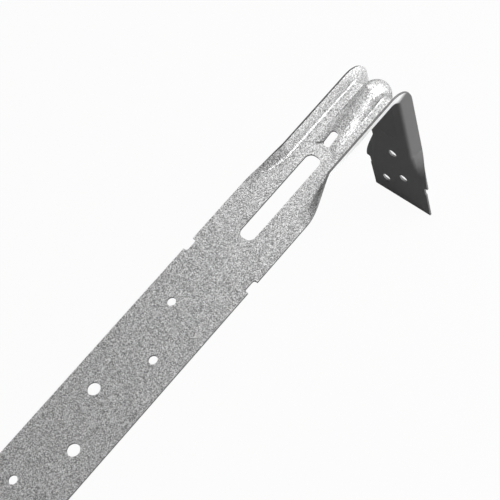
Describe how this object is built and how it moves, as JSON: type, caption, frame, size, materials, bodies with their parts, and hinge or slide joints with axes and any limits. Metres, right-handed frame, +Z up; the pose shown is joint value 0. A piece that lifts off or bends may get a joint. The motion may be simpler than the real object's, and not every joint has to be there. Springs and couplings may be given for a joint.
{
  "type": "restraint strap",
  "caption": "Long galvanised steel strap bent to a right angle, with folded edges and a pressed rib round the bend, slots, notches and staggered nail holes.",
  "frame": {"origin": "nail hole on the short leg's centre line, at its outer face", "axes": "+Z up, square to the long leg; the long leg runs along -Y; X across the strap"},
  "size_m": [0.038, 0.6562, 0.1062],
  "materials": {
    "galvanised_steel": "hot-dip galvanised, fine dull spangle"
  },
  "bodies": {
    "root": {"strap": "galvanised_steel"}
  },
  "joints": []
}
